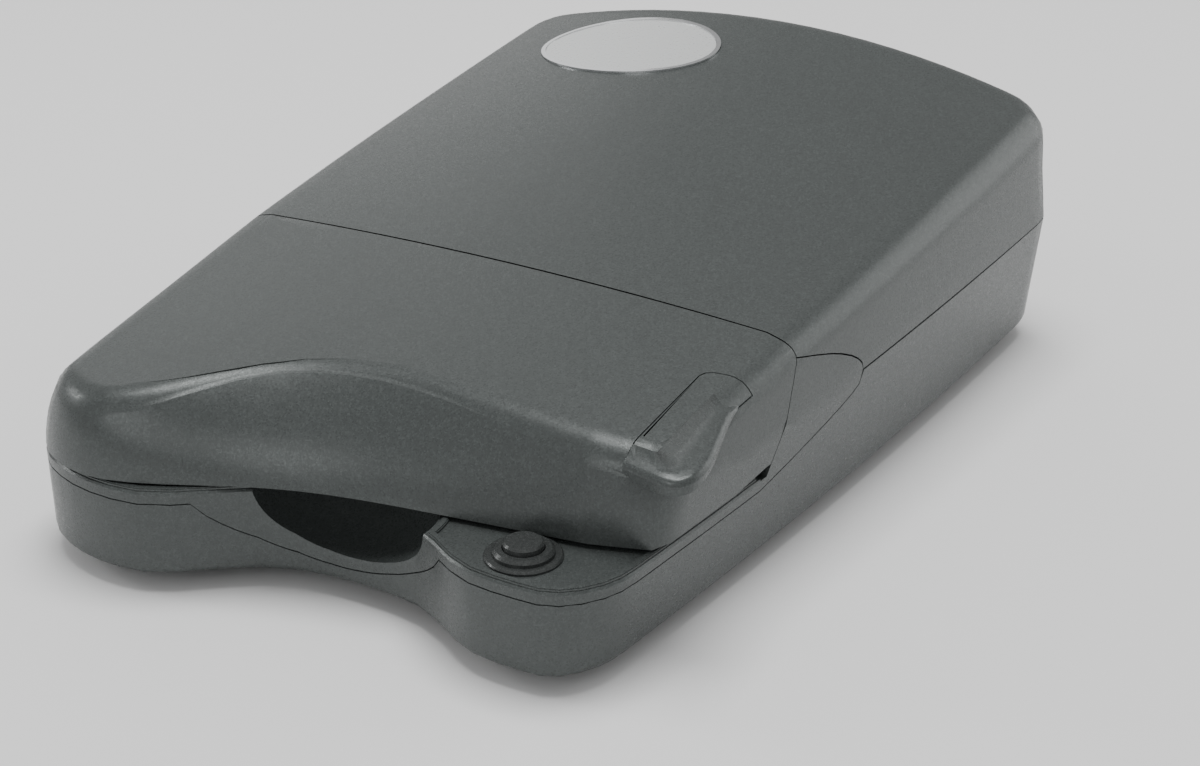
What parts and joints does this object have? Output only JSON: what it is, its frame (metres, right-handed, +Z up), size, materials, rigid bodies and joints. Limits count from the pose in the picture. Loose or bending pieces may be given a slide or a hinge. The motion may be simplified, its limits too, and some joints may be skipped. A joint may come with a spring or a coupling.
{
  "type": "film negative scanner",
  "caption": "Desktop film negative scanner: wedge-shaped graphite casing with a hinged front cover, release grip, round scan button, finger hollow and sliding film holder.",
  "frame": {"origin": "centre of the footprint on the table, under the rubber feet", "axes": "+X to the right and -Y to the front as seen by the user, +Z up"},
  "size_m": [0.2798, 0.41, 0.13],
  "materials": {
    "graphite": "satin, fine metallic flake",
    "graphite_dark": "satin",
    "black_plastic": "matte",
    "steel": "zinc plated",
    "bright_rim": "polished",
    "badge": "pale silver, bare",
    "rubber": "matte",
    "board": "solder mask",
    "chip": "smooth",
    "diffuser": "milky",
    "mirror_glass": "front silvered",
    "aluminium": "anodised dark"
  },
  "bodies": {
    "base": {"bottom_housing": "graphite", "mid_deck": "graphite", "rear_top_cover": "graphite", "badge_rim": "bright_rim", "badge_plate": "badge", "button_bezel": "graphite", "button_spring": "steel", "button_switch": "black_plastic", "hinge_brackets": "steel", "hinge_pins": "steel", "rubber_feet": "rubber", "housing_screws": "steel", "film_gate": "black_plastic", "drive_motor": "steel", "mirror_bracket": "black_plastic", "mirror": "mirror_glass", "rod_brackets": "black_plastic", "guide_rods": "steel", "focus_motor": "steel", "sensor_board": "board", "sensor_chip": "chip", "main_board": "board", "board_posts": "steel", "power_inlet": "black_plastic", "data_socket": "steel", "switch_body": "black_plastic"},
    "cover": {"front_cover": "graphite", "grip_pins": "steel", "lamp_housing": "black_plastic", "lamp_board": "board", "lamp_diffuser": "diffuser"},
    "grip": {"cover_grip": "graphite", "latch_hook": "steel"},
    "button": {"scan_button": "graphite_dark"},
    "film_holder": {"film_holder_base": "black_plastic", "film_holder_lid": "black_plastic"},
    "roller": {"feed_roller": "rubber"},
    "carriage": {"lens_carriage": "black_plastic", "lens_barrel": "aluminium"},
    "screw": {"lead_screw": "steel"},
    "rocker": {"power_rocker": "black_plastic"}
  },
  "joints": [
    {"name": "cover_hinge", "type": "hinge", "parent": "base", "child": "cover", "pos_m": [0, -0.0556, 0.0865], "axis": [-1, 0, 0], "range_deg": [0, 65]},
    {"name": "grip_pivot", "type": "hinge", "parent": "cover", "child": "grip", "pos_m": [0.11, -0.118, 0.08087], "axis": [0, -0.9932, -0.1161], "range_deg": [0, 3.6], "stiffness_Nm_per_rad": 0.6, "springref_deg": -2.86},
    {"name": "button_press", "type": "slide", "parent": "base", "child": "button", "axis": [0, 0, -1], "range_m": [0, 0.0016], "stiffness_N_per_m": 500, "springref_m": -0.002, "deforming": ["button_spring"]},
    {"name": "film_slide", "type": "slide", "parent": "base", "child": "film_holder", "axis": [-1, 0, 0], "range_m": [0, 0.12]},
    {"name": "roller_spin", "type": "hinge", "parent": "base", "child": "roller", "pos_m": [0.036, -0.09, 0.0347], "axis": [0, -1, 0], "range_deg": [0, 700]},
    {"name": "lens_focus", "type": "slide", "parent": "base", "child": "carriage", "axis": [0, 1, 0], "range_m": [-0.014, 0.014]},
    {"name": "lead_screw_spin", "type": "hinge", "parent": "base", "child": "screw", "pos_m": [0.034, 0, 0.026], "axis": [0, 1, 0], "range_deg": [-2600, 2600]},
    {"name": "rocker_tilt", "type": "hinge", "parent": "base", "child": "rocker", "pos_m": [-0.102, 0.197, 0.0257], "axis": [1, 0, 0], "range_deg": [-12, 12]}
  ],
  "couplings": [
    {"joint": "roller_spin", "follows": "film_slide", "rad_per_m": 100},
    {"joint": "lead_screw_spin", "follows": "lens_focus", "rad_per_m": -3141.6}
  ]
}
